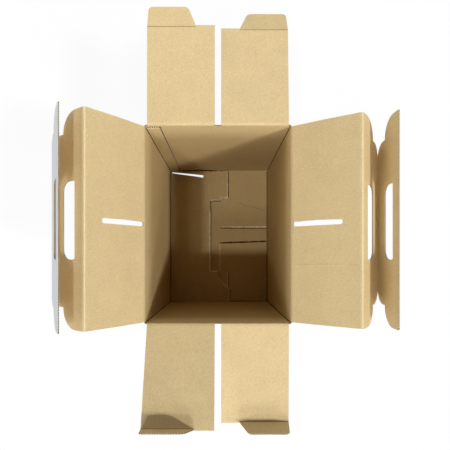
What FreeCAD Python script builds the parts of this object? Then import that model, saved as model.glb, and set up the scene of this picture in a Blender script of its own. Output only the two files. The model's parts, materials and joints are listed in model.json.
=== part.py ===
import FreeCAD, Part
import os
import Sketcher
from FreeCAD import Placement, Rotation, Vector

# Carrying carton for bottles, folded from one sheet of single-wall board and standing open.
# Origin: centre of the underside. +X east, +Y north, +Z up, millimetres.
# The white side of the board is outside, so every flap shows its brown side when it is open.

doc = FreeCAD.newDocument("carton")
sheet = doc.addObject("Spreadsheet::Sheet", "Sizes")

drivingSizes = [
    ("boardThickness", 1.6, "thickness of the board"),
    ("insideWidth", 207, "inside, west to east"),
    ("insideLength", 280, "inside, north to south"),
    ("insideDepth", 315, "inside, bottom to the fold of the half flaps"),
    ("cornerRadius", 0.6, "inside radius of the upright corners"),
    ("glueFlapWidth", 20, "glued lap on the north wall"),
    ("hingeGap", 0.15, "board missing on each side of a fold line"),
    ("foldGap", 0.1, "space at the brown side of a fold that closes flat"),
    ("layerGap", 0.2, "closed long flap to closed half flap"),
    ("longFlapSideGap", 0.75, "long flap to the north and south walls"),
    ("handleGap", 9, "gap between two half flaps for the upright handle"),
    ("handleSideGap", 0.9, "upright handle to the edge of a half flap"),
    ("gapDip", 1.5, "depth of the gap below the fold of the half flaps"),
    ("shoulderHeight", 43.5, "base fold to the step of the handle"),
    ("gripHeight", 24, "step to the top fold of the handle"),
    ("shoulderInset", 27.5, "step of the handle, each end"),
    ("shoulderRadius", 27, "round of the wide part of the handle"),
    ("gripCornerRadius", 19, "round of the grip beside the top fold"),
    ("backShortfall", 1, "how much shorter the back handle panel is"),
    ("handHoleLength", 100, "hand hole along the fold"),
    ("handHoleWidth", 25, "hand hole across the fold"),
    ("handHoleBaseRadius", 3, "hand hole corners beside the base fold"),
    ("handHoleTopRadius", 13, "hand hole corners beside the top fold"),
    ("halfFlapInset", 4.5, "corner of the box to a half flap"),
    ("halfFlapMeet", 0.5, "middle of the box to a closed half flap"),
    ("tabWidth", 70, "tuck tab along its fold"),
    ("tabLength", 28, "tuck tab from fold to end"),
    ("tabSetback", 2, "tab fold behind the edge of the half flap"),
    ("tabSlant", 12, "inner side of the tab, from base to end"),
    ("tabInnerRadius", 7, "inner corner of the tab"),
    ("tabOuterRadius", 5, "outer corner of the tab"),
    ("tabReliefAngle", 25, "bevel that lets the tab bend to the white side"),
    ("slotEndGap", 1.25, "tab to the ends of its slot"),
    ("slotSideGap", 0.75, "tab to the long sides of its slot"),
    ("slotCornerRadius", 2.5, "corners of the slot"),
    ("bottomFoldRadius", 1.5, "outside of the folds round the bottom"),
    ("recessCornerRadius", 3, "corners of the recess in the bottom"),
    ("bottomGap", 1.5, "bottom flap to the walls beside it"),
    ("innerFlapReach", 18.5, "middle to the free edge of the west bottom flap, eastward"),
    ("recessDepth", 37, "recess in the free edge of that flap"),
    ("recessNorth", 76, "middle to the north side of the recess"),
    ("recessSouth", 75, "middle to the south side of the recess"),
    ("recessNorthFlare", 12, "how much the recess widens to the north"),
    ("recessSouthFlare", 35, "how much the recess widens to the south"),
    ("recessFlareRun", 20, "depth over which it widens to the north"),
    ("sideFlapOffset", 1.5, "middle to the north and south bottom flaps, eastward"),
    ("northFlapOffset", 19, "middle to the free edge of the north bottom flap"),
    ("southFlapOffset", 16, "middle to the free edge of the south bottom flap"),
    ("outerFlapReach", 33.5, "middle to the free edge of the east bottom flap, westward"),
    ("westFlapAngle", 54, "west long flap above level, outward"),
    ("westBaseAngle", 92, "west handle folded down from its flap"),
    ("westTopAngle", 155, "west back panel folded back on the front panel"),
    ("eastFlapAngle", 37, "east long flap above level, outward"),
    ("eastBaseAngle", 93, "east handle folded down from its flap"),
    ("eastTopAngle", 144, "east back panel folded back on the front panel"),
    ("northWestFlapAngle", -0.5, "half flap above level, outward"),
    ("northEastFlapAngle", -4, "half flap above level, outward"),
    ("southWestFlapAngle", 21, "half flap above level, outward"),
    ("southEastFlapAngle", -1.4, "half flap above level, outward"),
    ("northWestTabAngle", 0.5, "tab folded up from its half flap"),
    ("northEastTabAngle", -12, "tab folded up from its half flap"),
    ("southWestTabAngle", 80, "tab folded up from its half flap"),
    ("southEastTabAngle", 77.4, "tab folded up from its half flap"),
]

# What follows from the driving sizes. Heights of the folds are those of the white side.
derivedSizes = [
    ("halfInsideWidth", "insideWidth / 2", "middle to the west or east wall"),
    ("halfInsideLength", "insideLength / 2", "middle to the north or south wall"),
    ("halfWidth", "halfInsideWidth + boardThickness", "middle to the outside, west or east"),
    ("halfLength", "halfInsideLength + boardThickness", "middle to the outside, north or south"),
    ("halfFlapFold", "insideDepth + 3 * boardThickness", "fold height, north and south"),
    ("longFlapFold", "halfFlapFold - boardThickness - layerGap", "fold height, west and east"),
    ("longFlapLength", "halfWidth - handleGap / 2 + handleSideGap", "rim fold to base fold"),
    ("longFlapWidth", "insideLength - 2 * longFlapSideGap", "width of long flap and handle"),
    ("handleHeight", "shoulderHeight + gripHeight", "base fold to top fold of the handle"),
    ("gripEnd", "longFlapWidth / 2 - shoulderInset", "middle to the end of the grip"),
    ("halfFlapLength", "halfLength - halfFlapMeet", "rim fold to free edge"),
    ("halfFlapWidth", "halfWidth - halfFlapInset - handleGap / 2", "one half flap"),
    ("halfFlapMiddle", "handleGap / 2 + halfFlapWidth / 2", "middle of the box to its middle"),
    ("tabFoldDistance", "halfFlapLength - tabSetback", "rim fold to tab fold"),
    ("tabRelief", "boardThickness * tan(tabReliefAngle)", "bevel at the root of the tab"),
    ("slotStart", "halfFlapInset - slotEndGap", "rim fold to the slot"),
    ("slotEnd", "halfFlapInset + tabWidth + slotEndGap", "rim fold to the far end of the slot"),
    ("slotHalfWidth", "halfFlapMeet + tabSetback + slotSideGap", "half the width of the slot"),
    ("recessFloor", "innerFlapReach - recessDepth", "floor of the recess"),
    ("bottomHalfLength", "halfInsideLength - bottomGap", "half length of the bottom flaps"),
]

row = 0
for name, value, note in drivingSizes:
    row += 1
    sheet.set(f"A{row}", note)
    sheet.set(f"B{row}", str(value))
    sheet.setAlias(f"B{row}", name)
for name, formula, note in derivedSizes:
    row += 1
    sheet.set(f"A{row}", note)
    sheet.set(f"B{row}", "=" + formula)
    sheet.setAlias(f"B{row}", name)
doc.recompute()

# Cutting sketches run this far past the board.
overshoot = 1.0


def newBody(label):
    body = doc.addObject("PartDesign::Body", label)
    body.Label = label
    return body


def newSketch(body, plane, name, height=None):
    sketch = body.newObject("Sketcher::SketchObject", name)
    planes = {feature.Role: feature for feature in body.Origin.OriginFeatures}
    sketch.AttachmentSupport = [(planes[plane], "")]
    sketch.MapMode = "FlatFace"
    if height is not None:
        sketch.setExpression("AttachmentOffset.Base.z", height)
    return sketch


def drawOutline(sketch, corners):
    # Corners are pairs of expressions, and each corner is held by them.
    first = sketch.GeometryCount
    points = [Vector(sketch.evalExpression(x), sketch.evalExpression(y), 0) for x, y in corners]
    count = len(corners)
    for index in range(count):
        sketch.addGeometry(Part.LineSegment(points[index], points[(index + 1) % count]))
    for index in range(count):
        following = first + (index + 1) % count
        sketch.addConstraint(Sketcher.Constraint("Coincident", first + index, 2, following, 1))
    for index, (x, y) in enumerate(corners):
        for kind, expression, value in (
            ("DistanceX", x, points[index].x),
            ("DistanceY", y, points[index].y),
        ):
            number = sketch.addConstraint(
                Sketcher.Constraint(kind, -1, 1, first + index, 1, value)
            )
            name = f"corner{first + index}{kind[-1]}"
            sketch.renameConstraint(number, name)
            sketch.setExpression(f"Constraints.{name}", expression)


def drawRectangle(sketch, west, east, south, north):
    drawOutline(sketch, [(west, south), (east, south), (east, north), (west, north)])


def pad(body, sketch, length, symmetric=False):
    feature = body.newObject("PartDesign::Pad", sketch.Name + "Pad")
    feature.Profile = sketch
    feature.setExpression("Length", length)
    feature.Midplane = symmetric
    doc.recompute()
    return feature


def cut(body, sketch):
    volumeBefore = body.Tip.Shape.Volume
    feature = body.newObject("PartDesign::Pocket", sketch.Name + "Pocket")
    feature.Profile = sketch
    feature.Type = "ThroughAll"
    feature.Midplane = True
    doc.recompute()
    if feature.Shape.Volume >= volumeBefore:
        raise ValueError(f"{feature.Name} cuts nothing")
    return feature


def uprightEdges(shape, places):
    # Names of the edges along Z that stand at the given places.
    names = []
    for number, edge in enumerate(shape.Edges, 1):
        start, end = edge.Vertexes[0].Point, edge.Vertexes[-1].Point
        level = abs(start.x - end.x) + abs(start.y - end.y)
        for x, y in places:
            if level < 1e-6 and abs(start.x - x) + abs(start.y - y) < 1e-4:
                names.append(f"Edge{number}")
    return names


def roundCorners(body, name, corners, radius):
    base = body.Tip
    places = [(base.evalExpression(x), base.evalExpression(y)) for x, y in corners]
    feature = body.newObject("PartDesign::Fillet", name)
    feature.Base = (base, uprightEdges(base.Shape, places))
    feature.setExpression("Radius", radius)
    doc.recompute()
    return feature


def drawFoldCorner(sketch, side, out, level, radius):
    # What a round fold lacks of a square corner: two lines and the arc between them.
    first = sketch.GeometryCount
    x, z = sketch.evalExpression(f"{side} * ({out})"), sketch.evalExpression(level)
    r = sketch.evalExpression(radius)
    corner, under, beside = Vector(x, z, 0), Vector(x - side * r, z, 0), Vector(x, z + r, 0)
    middle = Vector(x - side * r * (1 - 0.5 ** 0.5), z + r * (1 - 0.5 ** 0.5), 0)
    sketch.addGeometry(Part.LineSegment(corner, under))
    sketch.addGeometry(Part.Arc(under, middle, beside))
    sketch.addGeometry(Part.LineSegment(beside, corner))
    arcStart, arcEnd = (1, 2) if side > 0 else (2, 1)
    for kind, *items in (
        ("Coincident", first + 2, 2, first, 1),
        ("Tangent", first, 2, first + 1, arcStart),
        ("Tangent", first + 1, arcEnd, first + 2, 1),
        ("Horizontal", first),
        ("Vertical", first + 2),
    ):
        sketch.addConstraint(Sketcher.Constraint(kind, *items))
    for name, expression, items in (
        (f"out{first}", f"{side} * ({out})", ("DistanceX", -1, 1, first, 1, x)),
        (f"level{first}", level, ("DistanceY", -1, 1, first, 1, z)),
        (f"radius{first}", radius, ("Radius", first + 1, r)),
    ):
        number = sketch.addConstraint(Sketcher.Constraint(*items))
        sketch.renameConstraint(number, name)
        sketch.setExpression(f"Constraints.{name}", expression)


def place(body, base, axis=None, angle=None):
    # The place and the turn of a body are expressions too.
    body.Placement = Placement(Vector(), Rotation(axis or Vector(0, 0, 1), 0))
    for direction, expression in zip("xyz", base):
        body.setExpression(f"Placement.Base.{direction}", expression)
    if axis:
        body.Placement = Placement(body.Placement.Base, Rotation(axis, 1))
        body.setExpression("Placement.Rotation.Angle", angle)


def cartonBody():
    # Four walls, the glued lap and the interlocked bottom flaps are one folded sheet.
    body = newBody("carton_body")
    plan = newSketch(body, "XY_Plane", "WallPlan")
    outer = ("Sizes.halfWidth", "Sizes.halfLength")
    inner = ("Sizes.halfInsideWidth", "Sizes.halfInsideLength")
    for x, y in (outer, inner):
        drawRectangle(plan, "-" + x, x, "-" + y, y)
    pad(body, plan, "Sizes.halfFlapFold")
    turns = [(-1, -1), (1, -1), (1, 1), (-1, 1)]
    outerCorners = [(f"{i} * {outer[0]}", f"{j} * {outer[1]}") for i, j in turns]
    innerCorners = [(f"{i} * {inner[0]}", f"{j} * {inner[1]}") for i, j in turns]
    roundCorners(body, "OuterCorners", outerCorners, "Sizes.cornerRadius + Sizes.boardThickness")
    roundCorners(body, "InnerCorners", innerCorners, "Sizes.cornerRadius")

    # West and east walls stop at their lower fold, bevelled to meet the closed flap.
    rim = newSketch(body, "XZ_Plane", "LongFlapRim")
    for side in (-1, 1):
        drawOutline(rim, [
            (f"{side} * Sizes.halfInsideWidth", "Sizes.longFlapFold - Sizes.boardThickness"),
            (f"{side} * Sizes.halfWidth", "Sizes.longFlapFold"),
            (f"{side} * (Sizes.halfWidth + {overshoot})", "Sizes.longFlapFold"),
            (f"{side} * (Sizes.halfWidth + {overshoot})", f"Sizes.halfFlapFold + {overshoot}"),
            (f"{side} * Sizes.halfInsideWidth", f"Sizes.halfFlapFold + {overshoot}"),
        ])
    cut(body, rim)

    # North and south walls are bevelled the same way at their higher fold.
    rim = newSketch(body, "YZ_Plane", "HalfFlapRim")
    for side in (-1, 1):
        inside = f"{side} * (Sizes.halfInsideLength - {overshoot})"
        foot = f"Sizes.halfFlapFold - Sizes.boardThickness - {overshoot}"
        drawOutline(rim, [
            (inside, foot),
            (f"{side} * (Sizes.halfLength + {overshoot})", f"Sizes.halfFlapFold + {overshoot}"),
            (inside, f"Sizes.halfFlapFold + {overshoot}"),
        ])
    cut(body, rim)

    # The gap for the upright handle dips below the fold.
    dip = newSketch(body, "XZ_Plane", "HandleGapDip")
    drawRectangle(dip, "-Sizes.handleGap / 2", "Sizes.handleGap / 2",
                  "Sizes.halfFlapFold - Sizes.gapDip", f"Sizes.halfFlapFold + {overshoot}")
    cut(body, dip)

    # Each bottom flap lies one board lower than the one folded in before it, and so does its fold.
    west = newSketch(body, "XZ_Plane", "WestBottomFold")
    drawRectangle(west, f"-Sizes.halfWidth - {overshoot}", "-Sizes.halfInsideWidth",
                  f"-{overshoot}", "2 * Sizes.boardThickness")
    cut(body, west)
    ends = newSketch(body, "YZ_Plane", "EndBottomFolds")
    for side in (-1, 1):
        drawRectangle(ends, f"{side} * Sizes.halfInsideLength",
                      f"{side} * (Sizes.halfLength + {overshoot})",
                      f"-{overshoot}", "Sizes.boardThickness")
    cut(body, ends)

    lap = newSketch(body, "XY_Plane", "GlueFlap", "2 * Sizes.boardThickness")
    drawRectangle(lap, "-Sizes.halfInsideWidth", "-Sizes.halfInsideWidth + Sizes.glueFlapWidth",
                  "Sizes.halfInsideLength - Sizes.boardThickness", "Sizes.halfInsideLength")
    pad(body, lap, "Sizes.longFlapFold - 4 * Sizes.boardThickness")

    outerFlap = newSketch(body, "XY_Plane", "EastBottomFlap")
    drawRectangle(outerFlap, "-Sizes.outerFlapReach", "Sizes.halfInsideWidth",
                  "-Sizes.bottomHalfLength", "Sizes.bottomHalfLength")
    pad(body, outerFlap, "Sizes.boardThickness")

    for name, side in (("north", 1), ("south", -1)):
        flap = newSketch(body, "XY_Plane", f"{name}BottomFlap", "Sizes.boardThickness")
        drawRectangle(flap, "Sizes.sideFlapOffset", "Sizes.halfInsideWidth - Sizes.bottomGap",
                      f"{side} * Sizes.{name}FlapOffset", f"{side} * Sizes.halfInsideLength")
        pad(body, flap, "Sizes.boardThickness")

    innerFlap = newSketch(body, "XY_Plane", "WestBottomFlap", "2 * Sizes.boardThickness")
    drawOutline(innerFlap, [
        ("-Sizes.halfInsideWidth", "Sizes.bottomHalfLength"),
        ("-Sizes.halfInsideWidth", "-Sizes.bottomHalfLength"),
        ("Sizes.innerFlapReach", "-Sizes.bottomHalfLength"),
        ("Sizes.innerFlapReach", "-Sizes.recessSouth - Sizes.recessSouthFlare"),
        ("Sizes.recessFloor", "-Sizes.recessSouth"),
        ("Sizes.recessFloor", "Sizes.recessNorth"),
        ("Sizes.innerFlapReach - Sizes.recessFlareRun", "Sizes.recessNorth"),
        ("Sizes.innerFlapReach", "Sizes.recessNorth + Sizes.recessNorthFlare"),
        ("Sizes.innerFlapReach", "Sizes.bottomHalfLength"),
    ])
    pad(body, innerFlap, "Sizes.boardThickness")
    roundCorners(body, "RecessCorners", [
        ("Sizes.recessFloor", "-Sizes.recessSouth"),
        ("Sizes.recessFloor", "Sizes.recessNorth"),
        ("Sizes.innerFlapReach - Sizes.recessFlareRun", "Sizes.recessNorth"),
    ], "Sizes.recessCornerRadius")

    # The outside of each bottom fold is round.
    foldRadius = "Sizes.bottomFoldRadius"
    folds = newSketch(body, "XZ_Plane", "LongFoldRounds")
    drawFoldCorner(folds, -1, "Sizes.halfWidth", "2 * Sizes.boardThickness", foldRadius)
    drawFoldCorner(folds, 1, "Sizes.halfWidth", "0", foldRadius)
    cut(body, folds)
    folds = newSketch(body, "YZ_Plane", "ShortFoldRounds")
    for side in (-1, 1):
        drawFoldCorner(folds, side, "Sizes.halfLength", "Sizes.boardThickness", foldRadius)
    cut(body, folds)
    return body


def longFlap(name, side):
    # Drawn level, white side at zero, with its rim fold on the local Y axis.
    body = newBody(f"{name}_long_flap")
    section = newSketch(body, "XZ_Plane", "Section")
    root = "Sizes.hingeGap"
    end = f"{side} * (Sizes.longFlapLength - Sizes.hingeGap)"
    drawOutline(section, [
        (f"{side} * {root}", "0"),
        (end, "0"),
        (end, "Sizes.boardThickness"),
        (f"{side} * ({root} + Sizes.boardThickness)", "Sizes.boardThickness"),
    ])
    pad(body, section, "Sizes.longFlapWidth", symmetric=True)
    slot = newSketch(body, "XY_Plane", "TabSlot")
    drawRectangle(slot, f"{side} * Sizes.slotStart", f"{side} * Sizes.slotEnd",
                  "-Sizes.slotHalfWidth", "Sizes.slotHalfWidth")
    cut(body, slot)
    corners = [(f"{side} * Sizes.{end}", f"{way} * Sizes.slotHalfWidth")
               for end in ("slotStart", "slotEnd") for way in (-1, 1)]
    roundCorners(body, "SlotCorners", corners, "Sizes.slotCornerRadius")
    angle = f"Sizes.{name}FlapAngle"
    place(body, (f"{side} * Sizes.halfWidth", "0", "Sizes.longFlapFold"),
          Vector(0, -side, 0), angle)
    return body


def handlePanel(name, side, front):
    # Distances run from the base fold, so the back panel is the front panel turned end for end.
    body = newBody(f"{name}_handle_{'front' if front else 'back'}")
    if front:
        def along(distance):
            return f"{side} * ({distance})"
        height = "0"
        wideEnd = "Sizes.hingeGap"
    else:
        def along(distance):
            return f"{side} * (Sizes.handleHeight - ({distance}))"
        height = "-Sizes.boardThickness - Sizes.foldGap"
        wideEnd = "Sizes.backShortfall"
    narrowEnd = "Sizes.handleHeight - Sizes.hingeGap"
    plan = newSketch(body, "XY_Plane", "Plan", height)
    half = [
        (along(narrowEnd), "Sizes.gripEnd"),
        (along("Sizes.shoulderHeight"), "Sizes.gripEnd"),
        (along("Sizes.shoulderHeight"), "Sizes.longFlapWidth / 2"),
        (along(wideEnd), "Sizes.longFlapWidth / 2"),
    ]
    drawOutline(plan, half + [(x, "-" + y) for x, y in reversed(half)])
    pad(body, plan, "Sizes.boardThickness")
    for corner, feature, radius in ((2, "Shoulders", "Sizes.shoulderRadius"),
                                    (0, "GripCorners", "Sizes.gripCornerRadius")):
        x, y = half[corner]
        roundCorners(body, feature, [(x, y), (x, "-" + y)], radius)

    hole = newSketch(body, "XY_Plane", "HandHole")
    holeTop = "Sizes.shoulderHeight"
    holeBase = "Sizes.shoulderHeight - Sizes.handHoleWidth"
    holeEnd = "Sizes.handHoleLength / 2"
    drawRectangle(hole, along(holeBase), along(holeTop), "-" + holeEnd, holeEnd)
    cut(body, hole)
    for distance, feature, radius in (
        (holeBase, "HandHoleBaseCorners", "Sizes.handHoleBaseRadius"),
        (holeTop, "HandHoleTopCorners", "Sizes.handHoleTopRadius"),
    ):
        roundCorners(body, feature, [(along(distance), holeEnd), (along(distance), "-" + holeEnd)],
                     radius)

    # The fold lines are found by walking out along the long flap and down the front panel.
    flapAngle = f"Sizes.{name}FlapAngle"
    frontAngle = f"(Sizes.{name}FlapAngle - Sizes.{name}BaseAngle)"
    x = f"Sizes.halfWidth + Sizes.longFlapLength * cos({flapAngle})"
    z = f"Sizes.longFlapFold + Sizes.longFlapLength * sin({flapAngle})"
    if front:
        place(body, (f"{side} * ({x})", "0", z), Vector(0, -side, 0), frontAngle)
        return body
    depth = "(Sizes.boardThickness + Sizes.foldGap)"
    x += f" + Sizes.handleHeight * cos({frontAngle}) - {depth} * sin({frontAngle})"
    z += f" + Sizes.handleHeight * sin({frontAngle}) + {depth} * cos({frontAngle})"
    place(body, (f"{side} * ({x})", "0", z), Vector(0, -side, 0),
          f"{frontAngle} + Sizes.{name}TopAngle")
    return body


def halfFlap(name, size, east, north):
    # Drawn level like a long flap, centred on its own width.
    body = newBody(f"{name}_half_flap")
    section = newSketch(body, "YZ_Plane", "Section")
    drawOutline(section, [
        (f"{north} * Sizes.hingeGap", "0"),
        (f"{north} * Sizes.halfFlapLength", "0"),
        (f"{north} * Sizes.halfFlapLength", "Sizes.boardThickness"),
        (f"{north} * (Sizes.hingeGap + Sizes.boardThickness)", "Sizes.boardThickness"),
    ])
    pad(body, section, "Sizes.halfFlapWidth", symmetric=True)
    setback = newSketch(body, "XY_Plane", "TabSetback")
    drawRectangle(setback, f"{east} * (Sizes.halfFlapWidth / 2 - Sizes.tabWidth)",
                  f"{east} * (Sizes.halfFlapWidth / 2 + {overshoot})",
                  f"{north} * (Sizes.tabFoldDistance - Sizes.hingeGap)",
                  f"{north} * (Sizes.halfFlapLength + {overshoot})")
    cut(body, setback)
    place(body, (f"{east} * Sizes.halfFlapMiddle", f"{north} * Sizes.halfLength",
                 "Sizes.halfFlapFold"), Vector(north, 0, 0), f"Sizes.{size}FlapAngle")
    return body


def tuckTab(name, size, east, north):
    # Drawn level with its brown side at zero, where the fold line is.
    body = newBody(f"{name}_tuck_tab")
    plan = newSketch(body, "XY_Plane", "Plan", "-Sizes.boardThickness")
    root = f"{north} * Sizes.hingeGap"
    end = f"{north} * Sizes.tabLength"
    outer = f"{east} * Sizes.halfFlapWidth / 2"
    innerBase = f"{east} * (Sizes.halfFlapWidth / 2 - Sizes.tabWidth)"
    innerEnd = f"{east} * (Sizes.halfFlapWidth / 2 - Sizes.tabWidth + Sizes.tabSlant)"
    drawOutline(plan, [(outer, root), (outer, end), (innerEnd, end), (innerBase, root)])
    pad(body, plan, "Sizes.boardThickness")
    roundCorners(body, "OuterCorner", [(outer, end)], "Sizes.tabOuterRadius")
    roundCorners(body, "InnerCorner", [(innerEnd, end)], "Sizes.tabInnerRadius")
    relief = newSketch(body, "YZ_Plane", "RootRelief")
    drawOutline(relief, [
        (root, "0"),
        (f"{north} * (Sizes.hingeGap + Sizes.tabRelief)", "-Sizes.boardThickness"),
        (root, "-Sizes.boardThickness"),
    ])
    cut(body, relief)
    angle = f"Sizes.{size}FlapAngle"
    y = (f"Sizes.halfLength + Sizes.tabFoldDistance * cos({angle})"
         f" - Sizes.boardThickness * sin({angle})")
    z = (f"Sizes.halfFlapFold + Sizes.tabFoldDistance * sin({angle})"
         f" + Sizes.boardThickness * cos({angle})")
    place(body, (f"{east} * Sizes.halfFlapMiddle", f"{north} * ({y})", z),
          Vector(north, 0, 0), f"{angle} + Sizes.{size}TabAngle")
    return body


pieces = [cartonBody()]
for name, side in (("west", -1), ("east", 1)):
    pieces.append(longFlap(name, side))
    pieces.append(handlePanel(name, side, front=True))
    pieces.append(handlePanel(name, side, front=False))
for size, east, north in (("northWest", -1, 1), ("northEast", 1, 1),
                          ("southWest", -1, -1), ("southEast", 1, -1)):
    name = size.replace("West", "_west").replace("East", "_east")
    pieces.append(halfFlap(name, size, east, north))
    pieces.append(tuckTab(name, size, east, north))
doc.recompute()

for item in doc.Objects:
    if "Invalid" in item.State or "Error" in item.State:
        raise ValueError(f"{item.Name} failed: {item.State}")
for piece in pieces:
    shape = piece.Shape
    if shape.isNull() or not shape.isValid() or len(shape.Solids) != 1:
        raise ValueError(f"{piece.Label} is not one valid solid")

os.makedirs("parts", exist_ok=True)
for piece in pieces:
    piece.Shape.exportStep(f"parts/{piece.Label}.step")
    box = piece.Shape.BoundBox
    print(f"{piece.Label}: {box.XLength:.1f} x {box.YLength:.1f} x {box.ZLength:.1f} mm")
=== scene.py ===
import json
import math
import bpy
import numpy as np
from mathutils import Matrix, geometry


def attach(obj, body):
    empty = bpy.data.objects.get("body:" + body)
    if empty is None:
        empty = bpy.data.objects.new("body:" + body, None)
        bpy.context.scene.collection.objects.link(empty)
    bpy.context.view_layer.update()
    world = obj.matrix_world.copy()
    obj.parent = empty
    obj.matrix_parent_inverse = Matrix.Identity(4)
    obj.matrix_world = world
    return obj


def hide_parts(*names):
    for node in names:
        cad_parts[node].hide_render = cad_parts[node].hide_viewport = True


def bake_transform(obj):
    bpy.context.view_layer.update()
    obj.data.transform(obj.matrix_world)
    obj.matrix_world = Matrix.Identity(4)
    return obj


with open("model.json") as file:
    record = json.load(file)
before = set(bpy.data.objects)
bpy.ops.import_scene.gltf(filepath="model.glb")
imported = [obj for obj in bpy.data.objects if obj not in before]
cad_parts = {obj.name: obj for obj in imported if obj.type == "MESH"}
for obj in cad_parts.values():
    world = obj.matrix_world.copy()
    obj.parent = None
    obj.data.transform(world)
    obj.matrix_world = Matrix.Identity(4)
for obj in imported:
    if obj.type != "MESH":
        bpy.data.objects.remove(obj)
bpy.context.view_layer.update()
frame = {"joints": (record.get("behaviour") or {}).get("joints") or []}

mm = 0.001  # the sizes below are millimetres, the scene is in metres
scene = bpy.context.scene
foldPoint = {fold["name"]: np.array(fold["pos_m"]) / mm for fold in frame["joints"]}
east, north, up = np.eye(3)
compass = {"west": -east, "east": east, "north": north, "south": -north}

# Single-wall board: two liners on a fluted paper. The flutes cross every fold.
board = {"thickness": 1.6, "liner": 0.24, "paper": 0.2, "flutePitch": 3.3, "columnsPerFlute": 8,
         "grid": 14.0}

# The open carton, measured from the middle of its underside.
carton = {"halfWidth": 105.1, "halfLength": 141.6, "longFold": 318.0, "halfFold": 319.8,
          "cornerRadius": 2.2, "foldReach": 2.8, "bottomReach": 3.0}

print("camera")
cameraSettings = {"place": (4.3, -49.6, 941.8), "focalPixels": 438.0, "axisPixel": (221.0, 259.2),
                  "picture": 450.0}
cameraData = bpy.data.cameras.new("camera")
cameraData.sensor_width = 36.0
cameraData.lens = cameraSettings["focalPixels"] / cameraSettings["picture"] * 36.0
cameraData.shift_x = 0.5 - cameraSettings["axisPixel"][0] / cameraSettings["picture"]
cameraData.shift_y = cameraSettings["axisPixel"][1] / cameraSettings["picture"] - 0.5
cameraData.clip_start, cameraData.clip_end = 0.01, 50.0
camera = bpy.data.objects.new("camera", cameraData)
camera.location = [value * mm for value in cameraSettings["place"]]
scene.collection.objects.link(camera)
scene.camera = camera


def addNode(tree, kind, **values):
    # Sets inputs by name or number, and properties where the node has no such input.
    node = tree.nodes.new(kind)
    for name, value in values.items():
        key = name.replace("_", " ")
        if key in node.inputs:
            node.inputs[key].default_value = value
        else:
            setattr(node, name, value)
    return node


def link(tree, source, output, target, name):
    tree.links.new(source.outputs[output], target.inputs[name])


def calculate(tree, operation, *values):
    # A math node. Each value is a number, or a node and the name of its output.
    node = addNode(tree, "ShaderNodeMath", operation=operation)
    for number, value in enumerate(values):
        if isinstance(value, tuple):
            link(tree, *value, node, number)
        else:
            node.inputs[number].default_value = value
    return node


print("paper materials")


def paperGroup():
    # Fibres, cloudy pulp and flutes that show through, as a colour factor and a height.
    group = bpy.data.node_groups.new("paperGrain", "ShaderNodeTree")
    for name, value in (("Fibre size", 1000.0), ("Cloud size", 35.0), ("Fibre contrast", 0.1),
                        ("Cloud contrast", 0.05), ("Flute contrast", 0.02),
                        ("Flutes per metre", 303.0)):
        socket = group.interface.new_socket(name, in_out="INPUT", socket_type="NodeSocketFloat")
        socket.default_value = value
    for name in ("Shade", "Height"):
        group.interface.new_socket(name, in_out="OUTPUT", socket_type="NodeSocketFloat")
    entry, result = group.nodes.new("NodeGroupInput"), group.nodes.new("NodeGroupOutput")
    place = addNode(group, "ShaderNodeTexCoord")
    fibre = addNode(group, "ShaderNodeTexNoise", Detail=3.0, Roughness=0.7)
    cloud = addNode(group, "ShaderNodeTexNoise", Detail=2.0)
    fleck = addNode(group, "ShaderNodeTexNoise", Detail=1.0, Distortion=1.5)
    link(group, place, "Object", fibre, "Vector")
    link(group, place, "Object", cloud, "Vector")
    link(group, place, "Object", fleck, "Vector")
    link(group, entry, "Fibre size", fibre, "Scale")
    link(group, entry, "Cloud size", cloud, "Scale")
    scale = calculate(group, "MULTIPLY", (entry, "Fibre size"), 0.5)
    link(group, scale, 0, fleck, "Scale")

    split = addNode(group, "ShaderNodeSeparateXYZ")
    link(group, place, "UV", split, 0)
    turns = calculate(group, "MULTIPLY", (split, "X"), (entry, "Flutes per metre"))
    angle = calculate(group, "MULTIPLY", (turns, 0), 2 * math.pi)
    wave = calculate(group, "COSINE", (angle, 0))

    def weighted(source, output, contrast, middle):
        # (source - middle) * contrast
        shifted = calculate(group, "SUBTRACT", (source, output), middle)
        return calculate(group, "MULTIPLY", (shifted, 0), (entry, contrast))

    shade = calculate(group, "ADD", (weighted(fibre, "Fac", "Fibre contrast", 0.5), 0),
                      (weighted(cloud, "Fac", "Cloud contrast", 0.5), 0))
    flutes = calculate(group, "ADD", (shade, 0), (weighted(wave, 0, "Flute contrast", 0.0), 0))
    flecks = calculate(group, "ADD", (flutes, 0),
                       (weighted(fleck, "Fac", "Fibre contrast", 0.5), 0))
    link(group, calculate(group, "ADD", (flecks, 0), 1.0), 0, result, "Shade")
    link(group, calculate(group, "MULTIPLY_ADD", (wave, 0), 0.5, (fibre, "Fac")), 0, result,
         "Height")
    return group


grain = paperGroup()


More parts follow.
